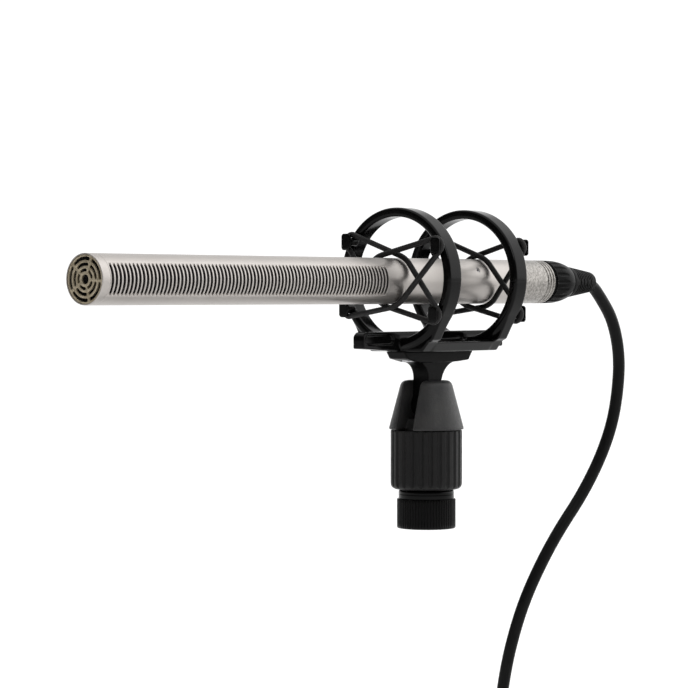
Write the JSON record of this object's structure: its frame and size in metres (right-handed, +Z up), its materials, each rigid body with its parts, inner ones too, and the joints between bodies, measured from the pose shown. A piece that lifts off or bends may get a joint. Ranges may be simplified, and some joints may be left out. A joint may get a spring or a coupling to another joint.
{
  "type": "ribbon microphone",
  "caption": "Slim directional tube microphone held by elastic loops in a two-ring shock mount on a tilting stand swivel, with its plug and lead",
  "frame": {"origin": "centre of the mouth of the stand thread, on the bottom face of the stand adapter", "axes": "+Z up along the stand axis, Y along the microphone with its front towards -Y, X along the tilt pivot"},
  "size_m": [0.1057, 0.3446, 0.2992],
  "materials": {
    "satin_metal": "satin",
    "grille_enamel": "satin",
    "acoustic_mesh": "matte",
    "capsule_steel": "satin",
    "brass_fitting": "satin",
    "inner_plastic": "matte",
    "board_green": "matte",
    "gold_contact": "polished",
    "steel_hardware": "satin",
    "plug_nickel": "satin",
    "boot_plastic": "matte",
    "relief_rubber": "matte",
    "gloss_black": "gloss",
    "elastic_black": "matte",
    "textured_black": "textured",
    "ring_gloss": "gloss",
    "adapter_black": "satin",
    "cable_rubber": "matte",
    "tie_fabric": "matte"
  },
  "bodies": {
    "stand_root": {"stand_adapter": "adapter_black", "neck_ring": "ring_gloss", "swivel_head": "textured_black", "pivot_pin": "steel_hardware", "cable_lead": "cable_rubber", "cable_coil": "cable_rubber", "coil_tie": "tie_fabric", "cable_tail": "cable_rubber", "far_relief": "relief_rubber", "far_collar": "boot_plastic", "far_shell": "plug_nickel", "far_insert": "inner_plastic", "far_pins": "gold_contact"},
    "collar": {"locking_collar": "textured_black", "collar_insert": "brass_fitting"},
    "clamp": {"clamp_plunger": "steel_hardware", "clamp_pin": "steel_hardware"},
    "cradle": {"cradle_base": "gloss_black", "front_arch": "gloss_black", "rear_arch": "gloss_black", "foot": "textured_black", "foot_screws": "steel_hardware", "front_loop_a": "elastic_black", "front_loop_b": "elastic_black", "rear_loop_a": "elastic_black", "rear_loop_b": "elastic_black"},
    "microphone": {"mic_tube": "satin_metal", "front_rim": "satin_metal", "front_grille": "grille_enamel", "grille_mesh": "acoustic_mesh", "slot_liner": "acoustic_mesh", "capsule": "capsule_steel", "capsule_ring": "brass_fitting", "board_carriers": "inner_plastic", "circuit_board": "board_green", "xlr_insert": "inner_plastic", "xlr_pins": "gold_contact", "set_screw": "steel_hardware", "plug_shell": "plug_nickel", "plug_insert": "inner_plastic", "plug_contacts": "gold_contact", "cable_chuck": "inner_plastic", "boot_collar": "boot_plastic", "strain_relief": "relief_rubber"},
    "latch": {"plug_latch": "plug_nickel"}
  },
  "joints": [
    {"name": "collar_turn", "type": "hinge", "parent": "stand_root", "child": "collar", "pos_m": [0, 0, 0.0286], "axis": [0, 0, 1], "range_deg": [0, 180]},
    {"name": "clamp_drop", "type": "slide", "parent": "stand_root", "child": "clamp", "axis": [0, 0, 1], "range_m": [-0.0006, 0]},
    {"name": "head_tilt", "type": "hinge", "parent": "stand_root", "child": "cradle", "pos_m": [0, 0, 0.0515], "axis": [1, 0, 0], "range_deg": [-25, 90], "deforming": ["cable_lead"]},
    {"name": "tube_roll", "type": "hinge", "parent": "cradle", "child": "microphone", "pos_m": [0, 0, 0.1031], "axis": [0, 1, 0], "range_deg": [-180, 180]},
    {"name": "latch_press", "type": "slide", "parent": "microphone", "child": "latch", "axis": [1, 0, 0], "range_m": [0, 0.0008], "stiffness_N_per_m": 800}
  ],
  "couplings": [
    {"joint": "clamp_drop", "follows": "collar_turn", "m_per_rad": -0.00016}
  ]
}
